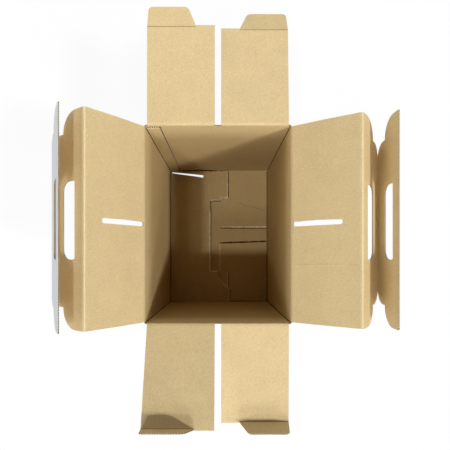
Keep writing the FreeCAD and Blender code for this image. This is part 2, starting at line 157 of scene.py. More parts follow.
def paperMaterial(name, colour, roughness, fibre, cloud, flute, bump, second=None, span=None):
    # A second colour fills UV.y up to the start of the span and fades out at its end.
    material = bpy.data.materials.new(name)
    material.use_nodes = True
    tree = material.node_tree
    tree.nodes.clear()
    shader = addNode(tree, "ShaderNodeBsdfPrincipled", Roughness=roughness)
    shader.inputs["Specular IOR Level"].default_value = 0.25
    output = addNode(tree, "ShaderNodeOutputMaterial")
    link(tree, shader, "BSDF", output, "Surface")
    paper = tree.nodes.new("ShaderNodeGroup")
    paper.node_tree = grain
    paper.inputs["Fibre contrast"].default_value = fibre
    paper.inputs["Cloud contrast"].default_value = cloud
    paper.inputs["Flute contrast"].default_value = flute
    tint = addNode(tree, "ShaderNodeMix", data_type="RGBA", blend_type="MULTIPLY")
    tint.inputs[0].default_value = 1.0
    tint.inputs[6].default_value = (*colour, 1.0)  # 6 and 7 are the colour sockets, A and B
    if second:
        place = addNode(tree, "ShaderNodeTexCoord")
        split = addNode(tree, "ShaderNodeSeparateXYZ")
        link(tree, place, "UV", split, 0)
        distance = calculate(tree, "ABSOLUTE", (split, "Y"))
        fade = addNode(tree, "ShaderNodeMapRange", interpolation_type="SMOOTHSTEP")
        link(tree, distance, 0, fade, "Value")
        for key, value in (("From Min", span[0]), ("From Max", span[1]), ("To Min", 1.0),
                           ("To Max", 0.0)):
            fade.inputs[key].default_value = value
        blend = addNode(tree, "ShaderNodeMix", data_type="RGBA")
        link(tree, fade, "Result", blend, 0)
        blend.inputs[6].default_value = (*colour, 1.0)
        blend.inputs[7].default_value = (*second, 1.0)
        link(tree, blend, 2, tint, 6)
    link(tree, paper, "Shade", tint, 7)
    link(tree, tint, 2, shader, "Base Color")
    relief = addNode(tree, "ShaderNodeBump", Strength=bump, Distance=0.0002)
    link(tree, paper, "Height", relief, "Height")
    link(tree, relief, "Normal", shader, "Normal")
    return material


# Colours: kraft brown, the darker brown of the painted shade inside the box, and the pale
# torn-fibre colour brightened as a painted highlight.
brown, paintedShadeBrown, tornHighlightColour = (0.69, 0.53, 0.28), (0.51, 0.368, 0.172), (0.92, 0.82, 0.62)
kraft = (brown, 0.8, 0.42, 0.12, 0.008, 0.25)  # colour, roughness, contrasts and relief
materials = [
    paperMaterial("kraft", *kraft),
    paperMaterial("whitePaper", (0.76, 0.775, 0.80), 0.6, 0.06, 0.04, 0.012, 0.2),
    paperMaterial("flutedPaper", (0.46, 0.34, 0.18), 0.85, 0.3, 0.06, 0.0, 0.2),
    # Torn fibres: the pale colour of cut kraft, made brighter still as a painted highlight where
    # edges catch the light.
    paperMaterial("tornFibresHighlight", tornHighlightColour, 0.9, 0.8, 0.2, 0.0, 0.4),
    # Dark strips of painted shade, laid in gaps, corners and flute openings.
    paperMaterial("gapShade", (0.05, 0.03, 0.014), 0.9, 0.3, 0.1, 0.0, 0.2),
    # The inside kraft is painted shade: darker brown up to 0.24 m along UV.y, fading back to kraft
    # by 0.31 m, so the bottom flaps, their folds and the lower inner walls are painted darker.
    paperMaterial("insideKraftPaintedShade", *kraft, paintedShadeBrown, (0.24, 0.31)),
    paperMaterial("ridgedKraft", *kraft, (0.82, 0.69, 0.44), (0.0001, 0.0014)),
    # Darker brown along the middle of a crease, as painted shade; the tab creases carry it.
    paperMaterial("groovedKraftShade", *kraft, (0.40, 0.27, 0.12), (0.0002, 0.0011)),
]
brownFace, whiteFace, rawEdge, tornHighlightEdge, paintedShadeLine, insidePaintedShadeFace, ridgeFace, grooveShadeFace = range(8)


print("board tools")


def panelFrame(origin, out, angle):
    # A panel that leaves its fold towards out, at this angle above level. Brown is its upper side.
    turn = math.radians(angle)
    away = math.cos(turn) * out + math.sin(turn) * up
    brown = math.cos(turn) * up - math.sin(turn) * out
    along = np.cross(away, brown)
    return {"origin": np.array(origin, float), "along": along, "away": away, "brown": brown}


def placeIn(panel, local):
    return (panel["origin"] + local[:, :1] * panel["along"] + local[:, 1:2] * panel["away"]
            + local[:, 2:3] * panel["brown"])


def alongValue(panel, points):
    # Where a point is along the fold, counted from the middle of the box, for the flutes.
    return points @ np.abs(panel["along"])


def roundOutline(corners, steps=8):
    # Corners are (u, v) or (u, v, radius).
    outline = []
    count = len(corners)
    for index, corner in enumerate(corners):
        point = np.array(corner[:2], float)
        if len(corner) == 2:
            outline.append(point)
            continue
        radius = corner[2]
        before = np.array(corners[index - 1][:2], float) - point
        after = np.array(corners[(index + 1) % count][:2], float) - point
        before, after = before / np.linalg.norm(before), after / np.linalg.norm(after)
        half = math.acos(max(-1, min(1, float(before @ after)))) / 2
        middle = (before + after) / np.linalg.norm(before + after)
        centre = point + middle * radius / math.sin(half)
        start = point + before * radius / math.tan(half) - centre
        end = point + after * radius / math.tan(half) - centre
        sweep = math.pi - 2 * half
        for step in range(steps + 1):
            share = step / steps
            outline.append(centre + (math.sin((1 - share) * sweep) * start
                                     + math.sin(share * sweep) * end) / math.sin(sweep))
    return np.array(outline)


def clipOutline(outline, limit, keepBelow):
    # Cuts an outline off at v = limit.
    kept = []
    for index, point in enumerate(outline):
        previous = outline[index - 1]
        inside = (point[1] <= limit) == keepBelow
        wasInside = (previous[1] <= limit) == keepBelow
        if inside != wasInside:
            share = (limit - previous[1]) / (point[1] - previous[1])
            kept.append(previous + share * (point - previous))
        if inside:
            kept.append(point)
    return np.array(kept)


def crossings(loops, u):
    # Heights v at which the line u = constant meets the outline and its holes.
    found = []
    for loop in loops:
        following = np.roll(loop, -1, axis=0)
        hit = (loop[:, 0] <= u) != (following[:, 0] <= u)
        start, end = loop[hit], following[hit]
        found.extend(start[:, 1] + (u - start[:, 0]) / (end[:, 0] - start[:, 0])
                     * (end[:, 1] - start[:, 1]))
    return sorted(found)


def isInside(loops, u, v):
    return sum(height > v for height in crossings(loops, u)) % 2 == 1


def fillOutline(outline, holes):
    # A flat sheet of small triangles, with points inside it so that it can be bowed.
    grid = board["grid"]
    points, edges = [], []
    for loop in [outline, *holes]:
        first = len(points)
        for index, point in enumerate(loop):
            end = loop[(index + 1) % len(loop)]
            pieces = max(1, math.ceil(np.linalg.norm(end - point) / grid))
            points.extend(point + (end - point) * step / pieces for step in range(pieces))
        last = len(points)
        edges.extend((number, number + 1 if number + 1 < last else first)
                     for number in range(first, last))
    rim = np.array(points)
    low, high = outline.min(0), outline.max(0)
    for u in np.arange(low[0] + grid / 2, high[0], grid):
        for v in np.arange(low[1] + grid / 2, high[1], grid):
            if np.linalg.norm(rim - (u, v), axis=1).min() > grid * 0.4:
                if isInside([outline, *holes], u, v):
                    points.append(np.array((u, v)))
    filled = geometry.delaunay_2d_cdt([tuple(point) for point in points], edges, [], 0, 1e-6, False)
    flat = np.array([tuple(point) for point in filled[0]])
    faces = []
    for face in filled[2]:
        middle = flat[list(face)].mean(0)
        if isInside([outline, *holes], *middle):
            faces.append(list(face))
    return flat, faces


def liner(sheet, low, high, upper, lower, cut):
    # One paper of the board, from height low to high, with its cut edges.
    flat, faces = sheet
    count = len(flat)
    points = np.vstack([np.column_stack([flat, np.full(count, high)]),
                        np.column_stack([flat, np.full(count, low)])])
    allFaces = [list(face) for face in faces]
    allFaces += [[number + count for number in reversed(face)] for face in faces]
    used = {}
    for face in faces:
        for a, b in zip(face, face[1:] + face[:1]):
            used[(a, b)] = True
    edge = [[b, a, a + count, b + count] for a, b in used if (b, a) not in used]
    kinds = [upper] * len(faces) + [lower] * len(faces) + [cut] * len(edge)
    return points, allFaces + edge, kinds


def corrugationTree():
    # Waves a flat sheet into flutes and gives the paper its thickness.
    tree = bpy.data.node_groups.new("corrugation", "GeometryNodeTree")
    tree.interface.new_socket("Geometry", in_out="INPUT", socket_type="NodeSocketGeometry")
    for name in ("Pitch", "Height", "Paper", "Shift"):
        tree.interface.new_socket(name, in_out="INPUT", socket_type="NodeSocketFloat")
    tree.interface.new_socket("Material", in_out="INPUT", socket_type="NodeSocketMaterial")
    tree.interface.new_socket("Geometry", in_out="OUTPUT", socket_type="NodeSocketGeometry")
    entry, result = tree.nodes.new("NodeGroupInput"), tree.nodes.new("NodeGroupOutput")
    place = tree.nodes.new("GeometryNodeInputPosition")
    split = tree.nodes.new("ShaderNodeSeparateXYZ")
    link(tree, place, "Position", split, 0)
    shifted = calculate(tree, "ADD", (split, "X"), (entry, "Shift"))
    turns = calculate(tree, "DIVIDE", (shifted, 0), (entry, "Pitch"))
    angle = calculate(tree, "MULTIPLY", (turns, 0), 2 * math.pi)
    wave = calculate(tree, "COSINE", (angle, 0))
    height = calculate(tree, "MULTIPLY", (wave, 0), (entry, "Height"))
    lift = tree.nodes.new("ShaderNodeCombineXYZ")
    link(tree, height, 0, lift, "Z")
    waved = tree.nodes.new("GeometryNodeSetPosition")
    link(tree, entry, "Geometry", waved, "Geometry")
    link(tree, lift, 0, waved, "Offset")
    thickness = tree.nodes.new("ShaderNodeCombineXYZ")
    link(tree, entry, "Paper", thickness, "Z")
    upper = addNode(tree, "GeometryNodeExtrudeMesh", mode="FACES")
    upper.inputs["Individual"].default_value = False
    link(tree, waved, "Geometry", upper, "Mesh")
    link(tree, thickness, 0, upper, "Offset")
    lower = tree.nodes.new("GeometryNodeFlipFaces")
    link(tree, waved, "Geometry", lower, 0)
    joined = tree.nodes.new("GeometryNodeJoinGeometry")
    link(tree, upper, "Mesh", joined, 0)
    link(tree, lower, 0, joined, 0)
    merged = addNode(tree, "GeometryNodeMergeByDistance")
    merged.inputs["Distance"].default_value = 0.001
    link(tree, joined, 0, merged, 0)
    real = tree.nodes.new("GeometryNodeRealizeInstances")
    link(tree, merged, 0, real, 0)
    painted = tree.nodes.new("GeometryNodeSetMaterial")
    link(tree, real, 0, painted, "Geometry")
    link(tree, entry, "Material", painted, "Material")
    link(tree, painted, 0, result, 0)
    return tree


corrugation = corrugationTree()


def meshArrays(mesh):
    points = np.empty(len(mesh.vertices) * 3)
    mesh.vertices.foreach_get("co", points)
    return points.reshape(-1, 3), [list(face.vertices) for face in mesh.polygons]


def fluteSheet(outline, holes, shift, margin=0.25):
    # A flat sheet in columns, cut to the outline, then waved by the corrugation tree.
    step = board["flutePitch"] / board["columnsPerFlute"]
    loops = [outline, *holes]
    low, high = outline[:, 0].min() + 1e-3, outline[:, 0].max() - 1e-3
    columns = np.unique(np.concatenate([[low], np.arange(math.ceil(low / step), high / step) * step,
                                        [high]]))
    points, faces, previous, runs = [], [], [], 6
    for u in columns:
        heights = crossings(loops, u)
        current = []
        for start, end in zip(heights[::2], heights[1::2]):
            start, end = start + margin, end - margin
            if end - start < 1.0:
                continue
            current.append((start, end, len(points)))
            points.extend((u, start + (end - start) * run / runs, 0) for run in range(runs + 1))
        if len(current) == len(previous):
            for (low0, high0, first), (low1, high1, second) in zip(previous, current):
                if low1 < high0 and low0 < high1:
                    faces.extend([first + run, second + run, second + run + 1, first + run + 1]
                                 for run in range(runs))
        previous = current
    mesh = bpy.data.meshes.new("flutes")
    mesh.from_pydata(points, [], faces)
    holder = bpy.data.objects.new("flutes", mesh)
    scene.collection.objects.link(holder)
    modifier = holder.modifiers.new("corrugation", "NODES")
    modifier.node_group = corrugation
    values = {"Pitch": board["flutePitch"], "Paper": board["paper"], "Shift": shift,
              "Height": (board["thickness"] - 2 * board["liner"] - board["paper"]) / 2,
              "Material": materials[rawEdge]}
    for socket in corrugation.interface.items_tree:
        if socket.in_out == "INPUT" and socket.name in values:
            modifier[socket.identifier] = values[socket.name]
    result = bpy.data.meshes.new_from_object(
        holder.evaluated_get(bpy.context.evaluated_depsgraph_get()))
    waved, wavedFaces = meshArrays(result)
    waved[:, 2] += (board["thickness"] - board["paper"]) / 2
    bpy.data.objects.remove(holder)
    bpy.data.meshes.remove(mesh)
    bpy.data.meshes.remove(result)
    return waved, wavedFaces, [rawEdge] * len(wavedFaces)


boxFaces = ((0, 1, 3, 2), (4, 6, 7, 5), (0, 4, 5, 1), (2, 3, 7, 6), (0, 2, 6, 4), (1, 5, 7, 3))


def fluteMouths(loops, shift):
    # Small blocks on the cuts that cross the flutes: dark ones of painted shade where the flute
    # openings are, and pale torn-fibre ones between, brightened as a painted highlight.
    points, faces, kinds, pitch = [], [], [], board["flutePitch"] / 2
    low, high = board["liner"] + 0.05, board["thickness"] - board["liner"] - 0.05
    for loop in loops:
        for start, end in zip(loop, np.roll(loop, -1, axis=0)):
            run = end - start
            if abs(run[0]) < 0.7 * np.linalg.norm(run):
                continue
            first, last = sorted((start[0], end[0]))
            numbers = range(math.ceil((first + shift) / pitch),
                            math.floor((last + shift) / pitch) + 1)
            for turn in numbers:
                u = turn * pitch - shift
                v = start[1] + (u - start[0]) / run[0] * run[1]
                base = len(points)
                depth, half = (0.02, 1.15) if turn % 2 else (0.01, 0.5)
                kinds += [paintedShadeLine if turn % 2 else tornHighlightEdge] * 6
                points.extend((u + a, v + b, c) for a in (-half, half) for b in (-depth, depth)
                              for c in (low, high))
                faces.extend([base + number for number in face] for face in boxFaces)
    return np.array(points, float).reshape(-1, 3), faces, kinds


def boardParts(panel, outline, holes=(), plane=0.0, bow=None, face=brownFace):
    # Both liners and the flutes of one flat panel, put in its place. Plane is its white side.
    sheet = fillOutline(outline, holes)
    thickness, paper = board["thickness"], board["liner"]
    sign = 1.0 if panel["along"].sum() > 0 else -1.0
    shift = sign * float(alongValue(panel, panel["origin"]))
    parts = [liner(sheet, thickness - paper, thickness, face, rawEdge, rawEdge),
             liner(sheet, 0.0, paper, rawEdge, whiteFace, whiteFace),
             fluteSheet(outline, holes, shift), fluteMouths([outline, *holes], shift)]
    placed = []
    for points, faces, kinds in parts:
        lifted = points.copy()
        lifted[:, 2] += plane
        if bow:
            lifted[:, 2] += bow(points[:, 0], points[:, 1])
        world = placeIn(panel, lifted)
        placed.append((world, faces, kinds, np.column_stack([alongValue(panel, world),
                                                             points[:, 1]])))
    return placed


def bead(panel, path, kind, width, height, plane=0.0, bow=None):
    # A slim ridge along a path (u, v) on the brown side: pale fibres lifted by a cut and brightened
    # as a painted highlight, or a dark strip of painted shade in a gap.
    points = [np.array(path[0], float)]
    for start, end in zip(path, path[1:]):
        start, end = np.array(start, float), np.array(end, float)
        pieces = max(1, math.ceil(np.linalg.norm(end - start) / 4))
        points.extend(start + (end - start) * step / pieces for step in range(1, pieces + 1))
    points = np.array(points)
    tangent = np.gradient(points, axis=0)
    tangent /= np.linalg.norm(tangent, axis=1)[:, None]
    left = np.column_stack([-tangent[:, 1], tangent[:, 0]])
    rough = np.random.default_rng(len(points)).uniform(0.7, 1.3, (len(points), 2))
    level = plane + board["thickness"] - 0.02 + (bow(points[:, 0], points[:, 1]) if bow else 0.0)
    level = np.broadcast_to(level, len(points))
    half = left * width / 2 * rough[:, :1]
    local = np.stack([np.column_stack([points + half, level]),
                      np.column_stack([points - half, level]),
                      np.column_stack([points, level + height * rough[:, 1]])], axis=1)
    faces = [[0, 1, 2]]
    for index in range(len(points) - 1):
        a, b = 3 * index, 3 * index + 3
        faces += [[a, a + 2, b + 2, b], [a + 1, b + 1, b + 2, a + 2], [a, b, b + 1, a + 1]]
    last = 3 * (len(points) - 1)
    faces.append([last, last + 2, last + 1])
    local = local.reshape(-1, 3)
    return (placeIn(panel, local), faces, [kind] * len(faces), local[:, :2])


def smoothShare(share):
    share = np.clip(share, 0, 1)
    return share * share * (3 - 2 * share)


def foldParts(axis, out, angles, reach, pinch, pivotSide, ends, lift=0.0, turn=1.0,
              face=brownFace):
    # A strip of board bent round a fold: reach on each side, pinched thin along the line.
    shares = np.array((-1, -0.8, -0.6, -0.4, -0.25, -0.1, -0.03, 0.03, 0.1, 0.25, 0.4, 0.6, 0.8, 1))
    before, after = panelFrame(axis, out, angles[0]), panelFrame(axis, out, angles[1])
    brown, white, distance = [], [], []
    for share in shares:
        angle = angles[0] + (angles[1] - angles[0]) * smoothShare(0.5 + 0.5 * share / turn)
        side = before if share < 0 else after
        normal = panelFrame(axis, out, angle)["brown"]
        pivot = axis + share * reach * side["away"] + lift * normal
        thick = board["thickness"] - (board["thickness"] - pinch) * (1 - share ** 2) ** 2
        other = pivot + (thick if pivotSide == "white" else -thick) * normal
        brown.append(other if pivotSide == "white" else pivot)
        white.append(pivot if pivotSide == "white" else other)
        distance.append(share * reach)
    along = before["along"]
    count = len(shares)
    spans = 24
    points, texture = [], []
    for step in range(spans + 1):
        for rows in (brown, white):
            for share, point, run in zip(shares, rows, distance):
                start, end = ends(share * reach)
                u = start + (end - start) * step / spans
                points.append(point + u * along)
                texture.append(run)
    points = np.array(points)
    faces, kinds = [], []
    for step in range(spans):
        base, following = 2 * count * step, 2 * count * (step + 1)
        for index in range(count - 1):
            faces.append([base + index, following + index, following + index + 1,
                          base + index + 1])
            kinds.append(face)
            a, b = base + count + index, following + count + index
            faces.append([a, a + 1, b + 1, b])
            kinds.append(whiteFace)
        faces.append([base, base + count, following + count, following])
        last = count - 1
        faces.append([base + last, following + last, following + count + last,
                      base + count + last])
        kinds += [rawEdge, rawEdge]
    for base, flip in ((0, False), (2 * count * spans, True)):
        for index in range(count - 1):
            side = [base + index, base + index + 1, base + count + index + 1, base + count + index]
            faces.append(side[::-1] if flip else side)
            kinds.append(rawEdge)
    return [(points, faces, kinds, np.column_stack([alongValue(before, points), texture]))]


def buildPiece(name, parts, smooth=False):
    # One mesh from its parts, with the flute coordinate as its UV map.
    points = np.vstack([part[0] for part in parts]) * mm
    faces, kinds, first = [], [], 0
    for part in parts:
        faces += [[number + first for number in face] for face in part[1]]
        kinds += part[2]
        first += len(part[0])
    mesh = bpy.data.meshes.new(name)
    mesh.from_pydata(points.tolist(), [], faces)
    for material in materials:
        mesh.materials.append(material)
    mesh.polygons.foreach_set("material_index", kinds)
    texture = np.vstack([part[3] for part in parts]) * mm
    layer = mesh.uv_layers.new(name="panel")
    corners = np.empty(len(mesh.loops), int)
    mesh.loops.foreach_get("vertex_index", corners)
    layer.data.foreach_set("uv", texture[corners].ravel())
    if smooth:
        mesh.shade_smooth()
        mesh.set_sharp_from_angle(angle=math.radians(50))
    mesh.validate()
    piece = bpy.data.objects.new(name, mesh)
    scene.collection.objects.link(piece)
    return piece


def rigidPiece(name, parts, body, node=None, smooth=False):
    piece = buildPiece(name, parts, smooth)
    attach(piece, body)
    if node:
        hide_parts(node)
    return piece


def foldPiece(name, joint, out, angles, bodies, stepped=False, **shape):
    # The strip across a fold, curved from one panel's angle to the other's and left in place. The
    # bodies and stepped arguments are not used.
    axis = foldPoint[joint]
    piece = buildPiece(name, foldParts(axis, out, angles, **shape), smooth=True)
    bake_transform(piece)
    return piece


print("carton walls and bottom")


def wallStations():
    # The rounded corners: the centre of each curve and the outward normals round it.
    radius = carton["cornerRadius"]
    innerX, innerY = carton["halfWidth"] - radius, carton["halfLength"] - radius
    stations = []
    corners = [(innerX, innerY, 0), (-innerX, innerY, 90), (-innerX, -innerY, 180),
               (innerX, -innerY, 270)]
    for x, y, start in corners:
        for step in range(7):
            turn = math.radians(start + 15 * step)
            stations.append((np.array((x, y)), np.array((math.cos(turn), math.sin(turn)))))
    return stations


def wallRing(spacing, breaks):
    # Stations round the walls: (centre, normal, way). Each break comes twice, before and after
    # the step (way), so that the height can step there.
    corner = wallStations()
    ring = []
    for index, (centre, normal) in enumerate(corner):
        ring.append((centre, normal, 0))
        following = corner[(index + 1) % len(corner)]
        if np.allclose(normal, following[1]):
            axis = 0 if abs(normal[1]) > 0.5 else 1
            start, end = centre[axis], following[0][axis]
            direction = 1 if end > start else -1
            marks = sorted(breaks[axis], key=lambda value: value * direction)
            values, cursor = [], start
            for mark in [*marks, end]:
                pieces = max(1, math.ceil(abs(mark - cursor) / spacing))
                values += [(cursor + (mark - cursor) * step / pieces, 0)
                           for step in range(1, pieces)]
                if mark != end:
                    values += [(mark, -direction), (mark, direction)]
                cursor = mark
            for value, way in values:
                place = centre.copy()
                place[axis] = value
                ring.append((place, normal, way))
    return ring


flapEnd = 139.25
halfFlapEdges = (4.5, 100.6)


def wallTop(point, normal, way, depth):
    # Height of the wall there: it stops below each fold strip, and at its cut edge elsewhere.
    if abs(normal[0]) > 0.999:
        inside = abs(point[1] + 1e-4 * way) < flapEnd
        return carton["longFold"] - (carton["foldReach"] if inside else depth)
    if abs(normal[1]) > 0.999:
        x = abs(point[0] + 1e-4 * way)
        if x < halfFlapEdges[0]:
            return carton["halfFold"] - 1.5
        if x < halfFlapEdges[1]:
            return carton["halfFold"] - carton["foldReach"]
        return carton["halfFold"] - depth
    return carton["longFold"] - depth


bottomFlapEnd = 139.3
sideFlapEdges = (1.5, 102.0)
# Where the height of a wall steps, along the short walls (0) and the long ones (1).
wallBreaks = {0: [-halfFlapEdges[1], -halfFlapEdges[0], *halfFlapEdges, *sideFlapEdges],
              1: [-flapEnd, flapEnd, -bottomFlapEnd, bottomFlapEnd]}


def wallBottom(point, normal, way):
    reach = carton["bottomReach"]
    thickness = board["thickness"]
    if normal[0] < -0.999:
        inside = abs(point[1] + 1e-4 * way) < bottomFlapEnd
        return 2 * thickness + (thickness + reach if inside else 0)
    if normal[0] > 0.999:
        inside = abs(point[1] + 1e-4 * way) < bottomFlapEnd
        return thickness + reach if inside else 0
    if abs(normal[1]) > 0.999:
        inside = sideFlapEdges[0] < point[0] + 1e-4 * way < sideFlapEdges[1]
        return thickness + (thickness + reach if inside else 0)
    return 2 * thickness


def bandFaces(count):
    # Outside, inside, top and bottom of a closed band with four points at each station.
    faces = []
    for index in range(count):
        a, b = 4 * index, 4 * ((index + 1) % count)
        faces += [[a, b, b + 1, a + 1], [a + 3, b + 3, b + 2, a + 2],
                  [a + 1, b + 1, b + 3, a + 3], [a + 2, b + 2, b, a]]
    return faces


def wallLayer(ring, depthOut, depthIn, outerKind, innerKind):
    # A closed band of paper between two depths from the outside.
    radius = carton["cornerRadius"]
    points, texture = [], []
    for centre, normal, way in ring:
        for depth in (depthOut, depthIn):
            place = centre + normal * (radius - depth)
            for height in (wallBottom(centre, normal, way),
                           wallTop(centre, normal, way, depth)):
                points.append((*place, height))
                texture.append((place[1] if abs(normal[0]) > abs(normal[1]) else place[0], height))
    kinds = [outerKind, innerKind, rawEdge, rawEdge] * len(ring)
    return np.array(points, float), bandFaces(len(ring)), kinds, np.array(texture, float)


def wallFlutes():
    # The fluted paper runs all the way round, with the same phase as the flaps have.
    step = board["flutePitch"] / board["columnsPerFlute"]
    height = (board["thickness"] - 2 * board["liner"] - board["paper"]) / 2
    middle = board["thickness"] / 2
    radius = carton["cornerRadius"]
    points, texture = [], []
    ring = wallRing(step, wallBreaks)
    for centre, normal, way in ring:
        along = centre[1] if abs(normal[0]) > abs(normal[1]) else centre[0]
        straight = max(abs(normal[0]), abs(normal[1])) > 0.999
        wave = height * math.cos(2 * math.pi * along / board["flutePitch"]) if straight else 0.0
        for offset in (-board["paper"] / 2, board["paper"] / 2):
            depth = middle + wave + offset
            place = centre + normal * (radius - depth)
            for level in (wallBottom(centre, normal, way) + 0.3,
                          wallTop(centre, normal, way, depth) - 0.3):
                points.append((*place, level))
                texture.append((along, level))
    faces = bandFaces(len(ring))
    return np.array(points, float), faces, [rawEdge] * len(faces), np.array(texture, float)


cartonRing = wallRing(20.0, wallBreaks)
thick, paper = board["thickness"], board["liner"]
wallParts = [wallLayer(cartonRing, 0.0, paper, whiteFace, rawEdge),
             wallLayer(cartonRing, thick - paper, thick, rawEdge, insidePaintedShadeFace), wallFlutes()]
rigidPiece("carton_walls", wallParts, "carton", "carton_body")

glueLap = {"west": -103.4, "east": -83.5, "south": 138.4, "low": 3.4, "high": 314.8}
lapFrame = {"origin": np.array((0.0, glueLap["south"] + thick, 0.0)), "along": east, "away": up,
            "brown": -north}
lapEast, lapHigh = glueLap["east"], glueLap["high"]
rigidPiece("glue_lap", boardParts(lapFrame, roundOutline([
    (glueLap["west"], glueLap["low"]), (lapEast, glueLap["low"]), (lapEast, lapHigh),
    (glueLap["west"], lapHigh)]), face=insidePaintedShadeFace) + [
        bead(lapFrame, [(-102.4, lapHigh - 0.9), (lapEast, lapHigh - 0.9)], tornHighlightEdge, 1.4, 0.3),
        bead(lapFrame, [(-102.4, lapHigh + 0.4), (lapEast + 1, lapHigh + 0.4)], paintedShadeLine, 0.9, 0.1,
             -1.5),
        bead(lapFrame, [(lapEast + 0.7, lapHigh), (lapEast + 0.7, glueLap["low"])], paintedShadeLine, 0.9,
             0.1, -1.5)], "carton")

# The west flap lies on top and bulges up, the north and south ones under it, the east one last.
bottom = {"reach": 18.5, "floor": -18.5, "recessNorth": 76, "recessSouth": -75, "bulge": 7.0,
          "bulgeEnd": 122.0, "outerReach": -33.5, "northEdge": 18.7, "northWest": 3.6,
          "southWest": 1.6}
slit = [(-99.8, 136.5), (-99.8, 134.5), (-32.7, 123.5), (-32.7, 128.6)]


def bottomBulge(u, v):
    # The west flap rises between its fold and its free edge.
    free = bottom["bulgeEnd"] - carton["bottomReach"]
    return bottom["bulge"] * np.sin(
        np.pi * np.clip((v - carton["bottomReach"]) / free, 0, 1)) ** 2


def bottomFlap(name, side, level, outline, holes=(), bow=None, lines=()):
    # Corners are (X, Y) or (X, Y, radius). The flap runs inward from its wall. A line is a kind,
    # a width, a height and its own corners.
    inward = -compass[side]
    wall = carton["halfWidth"] if side in ("west", "east") else carton["halfLength"]
    fold = compass[side] * (wall - thick) + up * (level + thick)
    panel = panelFrame(fold - up * thick, inward, 0)

    def flat(corners):
        moved = []
        for x, y, *radius in corners:
            place = np.array((x, y, level)) - panel["origin"]
            moved.append((place @ panel["along"], place @ panel["away"], *radius))
        return moved
    corners = flat(outline)
    parts = boardParts(panel, roundOutline(corners), [roundOutline(flat(hole)) for hole in holes],
                       bow=bow, face=insidePaintedShadeFace)
    for kind, width, height, path in lines:
        parts.append(bead(panel, flat(path), kind, width, height, bow=bow))
    rigidPiece(name, parts, "carton")
    uValues = [corner[0] for corner in corners if corner[1] < carton["bottomReach"] + 0.01]
    low, high = min(uValues), max(uValues)
    strip = foldParts(fold, inward, (-90, 0), carton["bottomReach"], 1.5, "brown",
                      lambda run: (low, high), face=insidePaintedShadeFace)
    rigidPiece(name.replace("flap", "fold"), strip, "carton", smooth=True)


inset = carton["halfWidth"] - thick - carton["bottomReach"]
endInset = carton["halfLength"] - thick - carton["bottomReach"]
reach, floorX = bottom["reach"], bottom["floor"]
northRecess = [(floorX, bottom["recessNorth"]), (2, bottom["recessNorth"]), (5, 83), (reach, 81)]
southRecess = [(22, -113), (8.7, -100.8), (1.2, -88.5), (-2, -81), (-2, bottom["recessSouth"]),
               (floorX, bottom["recessSouth"])]
bottomFlap("west_bottom_flap", "west", 2 * thick, [
    (-inset, bottomFlapEnd), (-inset, -bottomFlapEnd), (22, -bottomFlapEnd), *southRecess,
    *northRecess, (reach, bottomFlapEnd)], [slit],
    bottomBulge, [
    (tornHighlightEdge, 1.4, 0.5, [(reach - 0.5, 139), (reach - 0.5, 81)]),
    (tornHighlightEdge, 1.3, 0.5, [(reach, 81.4), (5, 83.4), (1.6, 76.4), (floorX - 0.4, 76.4)]),
    (tornHighlightEdge, 2.0, 0.6, [(floorX - 0.8, 53), (floorX - 0.8, -75.8)]),
    (tornHighlightEdge, 1.4, 0.4, [(floorX - 0.4, -75.4), (-2.4, -75.4)]),
    (tornHighlightEdge, 1.3, 0.4, [(0.9, -88.7), (8.3, -101), (21.6, -113.4)]),
    (tornHighlightEdge, 1.0, 0.3, [(21.5, -113.4), (21.5, -139)]),
    (paintedShadeLine, 2.6, 0.1, [(-84, 138.6), (reach, 138.6)]),
    (insidePaintedShadeFace, 5.0, 0.5, [(-60, 55), (-30, 57), (floorX, 54)])])
bottomFlap("east_bottom_flap", "east", 0.0, [
    (bottom["outerReach"], -bottomFlapEnd), (inset, -bottomFlapEnd), (inset, bottomFlapEnd),
    (bottom["outerReach"], bottomFlapEnd)], lines=[
    (paintedShadeLine, 2.4, 0.1, [(4, 17.2), (101, 17.2)]),
    (paintedShadeLine, 3.6, 0.1, [(2, -14.6), (101, -11.0)])])
bottomFlap("north_bottom_flap", "north", thick, [
    (bottom["northWest"], bottom["northEdge"]), (sideFlapEdges[1], bottom["northEdge"]),
    (sideFlapEdges[1], endInset), (bottom["northWest"], endInset)], lines=[
    (tornHighlightEdge, 2.4, 0.6, [(26, bottom["northEdge"] + 0.8), (102, bottom["northEdge"] + 0.8)]),
    (tornHighlightEdge, 1.2, 0.4, [(6, bottom["northEdge"] + 0.5), (26, bottom["northEdge"] + 0.7)]),
    (paintedShadeLine, 2.4, 0.1, [(19.9, 138), (19.9, 82)]),
    (paintedShadeLine, 1.2, 0.1, [(4, 75), (-16, 75)]),
    (insidePaintedShadeFace, 3.0, 1.0, [(40, 70), (68, 63), (97, 54)])])
bottomFlap("south_bottom_flap", "south", thick, [
    (bottom["southWest"], -endInset), (sideFlapEdges[1], -endInset), (sideFlapEdges[1], -12.8),
    (bottom["southWest"], -16.4)], lines=[
    (tornHighlightEdge, 1.5, 0.5, [(18.6, -77), (18.6, -111)]),
    (paintedShadeLine, 1.6, 0.1, [(20.1, -77), (20.1, -111)]),
    (paintedShadeLine, 2.0, 0.1, [(23.4, -114), (23.4, -138)]),
    (tornHighlightEdge, 0.9, 0.3, [(bottom["southWest"] + 0.4, -17), (bottom["southWest"] + 0.4, -74)])])

